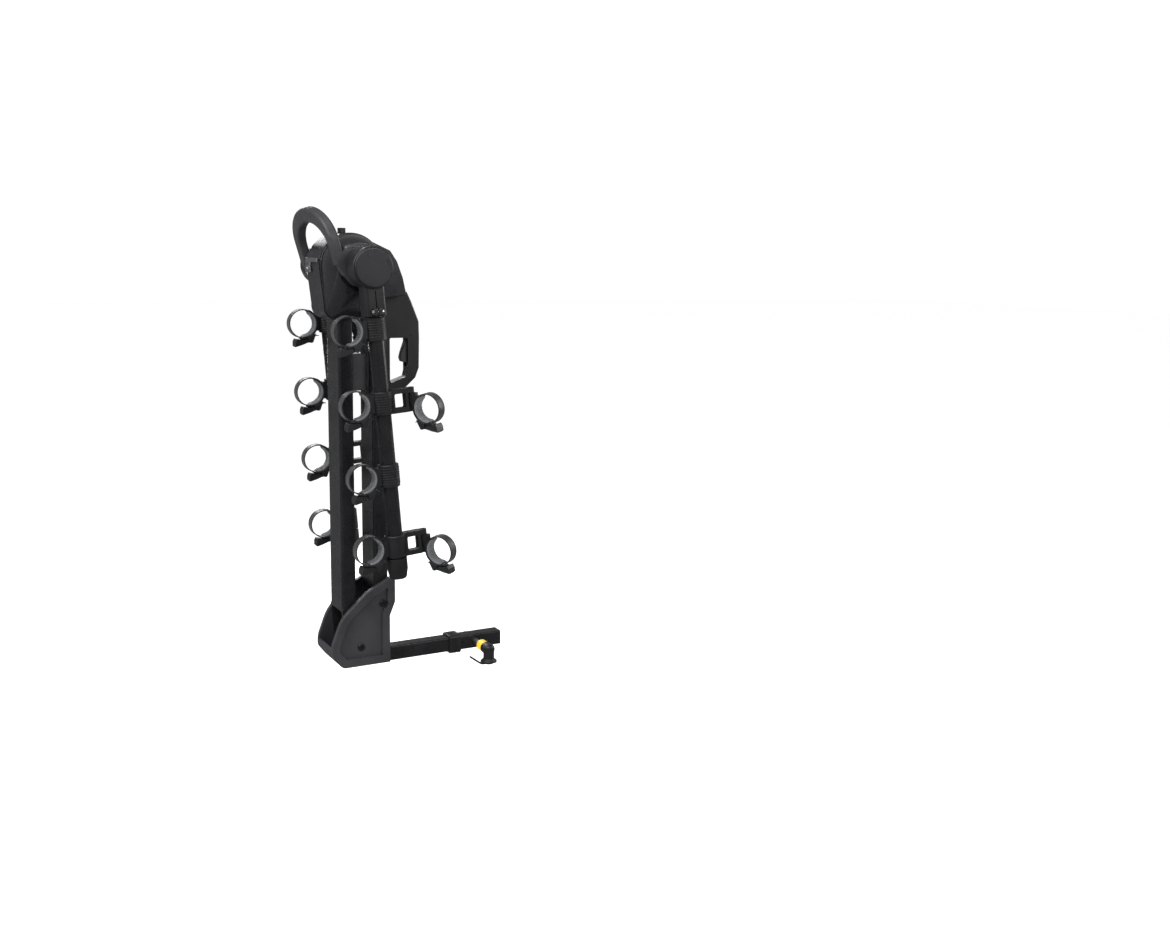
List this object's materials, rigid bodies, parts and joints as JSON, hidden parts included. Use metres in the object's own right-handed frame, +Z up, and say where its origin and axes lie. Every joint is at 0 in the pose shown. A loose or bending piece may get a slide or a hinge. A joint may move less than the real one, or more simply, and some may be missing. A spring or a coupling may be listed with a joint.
{
  "type": "hitch mounted bike rack",
  "caption": "Hanging bike rack on a hitch shank: a glide-away parallel mast pair, a head with fold-down arms, strap cradles and a release bail.",
  "frame": {"origin": "where the hitch pin's axis crosses the shank's axis", "axes": "+X to the vehicle's right, +Y towards the vehicle along the shank, +Z up; the masts stand at -Y"},
  "size_m": [0.4176, 0.4355, 0.9764],
  "materials": {
    "black_plastic": "black moulded plastic, fine texture",
    "cast_black": "black painted casting, satin",
    "black_paint": "black powder coat, satin",
    "grey_plastic": "dark grey moulded plastic, matte",
    "bright_steel": "zinc-plated steel",
    "gloss_black_plastic": "black moulded plastic, semi-gloss",
    "bushing_plastic": "natural acetal",
    "soft_rubber": "light grey moulded rubber, matte",
    "yellow_plastic": "yellow moulded plastic",
    "strap_black": "black flexible strap, satin"
  },
  "bodies": {
    "base": {"base_channel": "black_paint", "hitch_shank": "black_paint", "shank_collar": "black_plastic", "base_pivot_bolts": "bright_steel", "base_pivot_nuts": "bright_steel"},
    "pin": {"hitch_pin": "bright_steel", "pin_ring": "yellow_plastic", "pin_knob": "black_plastic", "pin_strap": "soft_rubber"},
    "rear_link": {"rear_mast": "black_paint"},
    "front_link": {"front_mast": "black_paint", "mast_bumper": "black_plastic", "handle_frame": "black_plastic", "trigger_pin": "bright_steel"},
    "head": {"head_spine": "gloss_black_plastic", "head_cheek_right": "gloss_black_plastic", "head_cheek_left": "gloss_black_plastic", "shoulder_right": "gloss_black_plastic", "shoulder_left": "gloss_black_plastic", "head_pivot_pins": "bright_steel", "lock_plate": "bright_steel", "top_tab": "black_plastic", "hub_bushings": "bushing_plastic"},
    "arms": {"hub_tube": "black_paint", "arm_hub_right": "cast_black", "arm_hub_left": "cast_black", "hub_caps": "gloss_black_plastic", "arm_tube_right": "black_paint", "arm_tube_left": "black_paint", "arm_end_caps": "black_plastic", "socket_bolts": "bright_steel", "saddles_right": "black_plastic", "saddles_left": "black_plastic", "brackets_right": "black_plastic", "brackets_left": "black_plastic", "pads_right": "soft_rubber", "pads_left": "soft_rubber", "straps_right": "strap_black", "straps_left": "strap_black"},
    "bail": {"bail_handle": "grey_plastic"},
    "trigger": {"release_trigger": "grey_plastic"},
    "plunger": {"release_plunger": "bright_steel"},
    "lock": {"lock_barrel": "bright_steel"},
    "lever_right_1": {"lever_right_1": "black_plastic"},
    "lever_right_2": {"lever_right_2": "black_plastic"},
    "lever_right_3": {"lever_right_3": "black_plastic"},
    "lever_right_4": {"lever_right_4": "black_plastic"},
    "sway_cradle_right_2": {"sway_cradle_right_2": "strap_black"},
    "sway_lever_right_2": {"sway_lever_right_2": "black_plastic"},
    "sway_cradle_right_4": {"sway_cradle_right_4": "strap_black"},
    "sway_lever_right_4": {"sway_lever_right_4": "black_plastic"},
    "lever_left_1": {"lever_left_1": "black_plastic"},
    "lever_left_2": {"lever_left_2": "black_plastic"},
    "lever_left_3": {"lever_left_3": "black_plastic"},
    "lever_left_4": {"lever_left_4": "black_plastic"},
    "sway_cradle_left_1": {"sway_cradle_left_1": "strap_black"},
    "sway_lever_left_1": {"sway_lever_left_1": "black_plastic"},
    "sway_cradle_left_3": {"sway_cradle_left_3": "strap_black"},
    "sway_lever_left_3": {"sway_lever_left_3": "black_plastic"}
  },
  "joints": [
    {"name": "glide", "type": "hinge", "parent": "base", "child": "rear_link", "pos_m": [0, -0.279, 0.034], "axis": [1, 0, 0], "range_deg": [0, 45]},
    {"name": "front_link_swing", "type": "hinge", "parent": "base", "child": "front_link", "pos_m": [0, -0.23, 0.124], "axis": [1, 0, 0], "range_deg": [0, 45]},
    {"name": "head_level", "type": "hinge", "parent": "rear_link", "child": "head", "pos_m": [0, -0.279, 0.755], "axis": [1, 0, 0], "range_deg": [-45, 0]},
    {"name": "arm_fold", "type": "hinge", "parent": "head", "child": "arms", "pos_m": [0, -0.288, 0.827], "axis": [-1, 0, 0], "range_deg": [0, 95]},
    {"name": "bail_pull", "type": "hinge", "parent": "head", "child": "bail", "pos_m": [0, -0.288, 0.827], "axis": [1, 0, 0], "range_deg": [0, 20], "stiffness_Nm_per_rad": 3, "springref_deg": -17.19},
    {"name": "trigger_squeeze", "type": "hinge", "parent": "front_link", "child": "trigger", "pos_m": [0, -0.1515, 0.685], "axis": [1, 0, 0], "range_deg": [0, 12], "stiffness_Nm_per_rad": 0.5, "springref_deg": -17.19},
    {"name": "plunger_push", "type": "slide", "parent": "front_link", "child": "plunger", "axis": [0, -1, 0], "range_m": [0, 0.0022]},
    {"name": "lock_turn", "type": "hinge", "parent": "head", "child": "lock", "pos_m": [-0.022, -0.356, 0.826], "axis": [0, 1, 0], "range_deg": [0, 90]},
    {"name": "pin_slide", "type": "slide", "parent": "base", "child": "pin", "axis": [1, 0, 0], "range_m": [0, 0.13]},
    {"name": "lever_right_1_lift", "type": "hinge", "parent": "arms", "child": "lever_right_1", "pos_m": [0.143, -0.31868, 0.66868], "axis": [1, 0, 0], "range_deg": [0, 50], "stiffness_Nm_per_rad": 0.06, "springref_deg": -17.19},
    {"name": "lever_right_2_lift", "type": "hinge", "parent": "arms", "child": "lever_right_2", "pos_m": [0.143, -0.30579, 0.52275], "axis": [1, 0, 0], "range_deg": [0, 50], "stiffness_Nm_per_rad": 0.06, "springref_deg": -17.19},
    {"name": "lever_right_3_lift", "type": "hinge", "parent": "arms", "child": "lever_right_3", "pos_m": [0.143, -0.29289, 0.37682], "axis": [1, 0, 0], "range_deg": [0, 50], "stiffness_Nm_per_rad": 0.06, "springref_deg": -17.19},
    {"name": "lever_right_4_lift", "type": "hinge", "parent": "arms", "child": "lever_right_4", "pos_m": [0.143, -0.28, 0.23089], "axis": [1, 0, 0], "range_deg": [0, 50], "stiffness_Nm_per_rad": 0.06, "springref_deg": -17.19},
    {"name": "sway_swivel_right_2", "type": "hinge", "parent": "arms", "child": "sway_cradle_right_2", "pos_m": [0.143, -0.20291, 0.56849], "axis": [0, -0.088, 0.9961], "range_deg": [-15, 120]},
    {"name": "sway_lever_right_2_lift", "type": "hinge", "parent": "sway_cradle_right_2", "child": "sway_lever_right_2", "pos_m": [0.16732, -0.18238, 0.51559], "axis": [-0.5446, 0.8354, 0.0738], "range_deg": [0, 50], "stiffness_Nm_per_rad": 0.06, "springref_deg": -17.19},
    {"name": "sway_swivel_right_4", "type": "hinge", "parent": "arms", "child": "sway_cradle_right_4", "pos_m": [0.143, -0.17712, 0.27662], "axis": [0, -0.088, 0.9961], "range_deg": [-15, 120]},
    {"name": "sway_lever_right_4_lift", "type": "hinge", "parent": "sway_cradle_right_4", "child": "sway_lever_right_4", "pos_m": [0.16732, -0.15659, 0.22373], "axis": [-0.5446, 0.8354, 0.0738], "range_deg": [0, 50], "stiffness_Nm_per_rad": 0.06, "springref_deg": -17.19},
    {"name": "lever_left_1_lift", "type": "hinge", "parent": "arms", "child": "lever_left_1", "pos_m": [-0.143, -0.31868, 0.66868], "axis": [1, 0, 0], "range_deg": [0, 50], "stiffness_Nm_per_rad": 0.06, "springref_deg": -17.19},
    {"name": "lever_left_2_lift", "type": "hinge", "parent": "arms", "child": "lever_left_2", "pos_m": [-0.143, -0.30579, 0.52275], "axis": [1, 0, 0], "range_deg": [0, 50], "stiffness_Nm_per_rad": 0.06, "springref_deg": -17.19},
    {"name": "lever_left_3_lift", "type": "hinge", "parent": "arms", "child": "lever_left_3", "pos_m": [-0.143, -0.29289, 0.37682], "axis": [1, 0, 0], "range_deg": [0, 50], "stiffness_Nm_per_rad": 0.06, "springref_deg": -17.19},
    {"name": "lever_left_4_lift", "type": "hinge", "parent": "arms", "child": "lever_left_4", "pos_m": [-0.143, -0.28, 0.23089], "axis": [1, 0, 0], "range_deg": [0, 50], "stiffness_Nm_per_rad": 0.06, "springref_deg": -17.19},
    {"name": "sway_swivel_left_1", "type": "hinge", "parent": "arms", "child": "sway_cradle_left_1", "pos_m": [-0.143, -0.21581, 0.71442], "axis": [0, -0.088, 0.9961], "range_deg": [-120, 15]},
    {"name": "sway_lever_left_1_lift", "type": "hinge", "parent": "sway_cradle_left_1", "child": "sway_lever_left_1", "pos_m": [-0.16732, -0.19528, 0.66152], "axis": [-0.5446, -0.8354, -0.0738], "range_deg": [0, 50], "stiffness_Nm_per_rad": 0.06, "springref_deg": -17.19},
    {"name": "sway_swivel_left_3", "type": "hinge", "parent": "arms", "child": "sway_cradle_left_3", "pos_m": [-0.143, -0.19002, 0.42255], "axis": [0, -0.088, 0.9961], "range_deg": [-120, 15]},
    {"name": "sway_lever_left_3_lift", "type": "hinge", "parent": "sway_cradle_left_3", "child": "sway_lever_left_3", "pos_m": [-0.16732, -0.16949, 0.36966], "axis": [-0.5446, -0.8354, -0.0738], "range_deg": [0, 50], "stiffness_Nm_per_rad": 0.06, "springref_deg": -17.19}
  ],
  "couplings": [
    {"joint": "front_link_swing", "follows": "glide", "ratio": 1},
    {"joint": "head_level", "follows": "glide", "ratio": -1},
    {"joint": "plunger_push", "follows": "trigger_squeeze", "m_per_rad": 0.01}
  ]
}
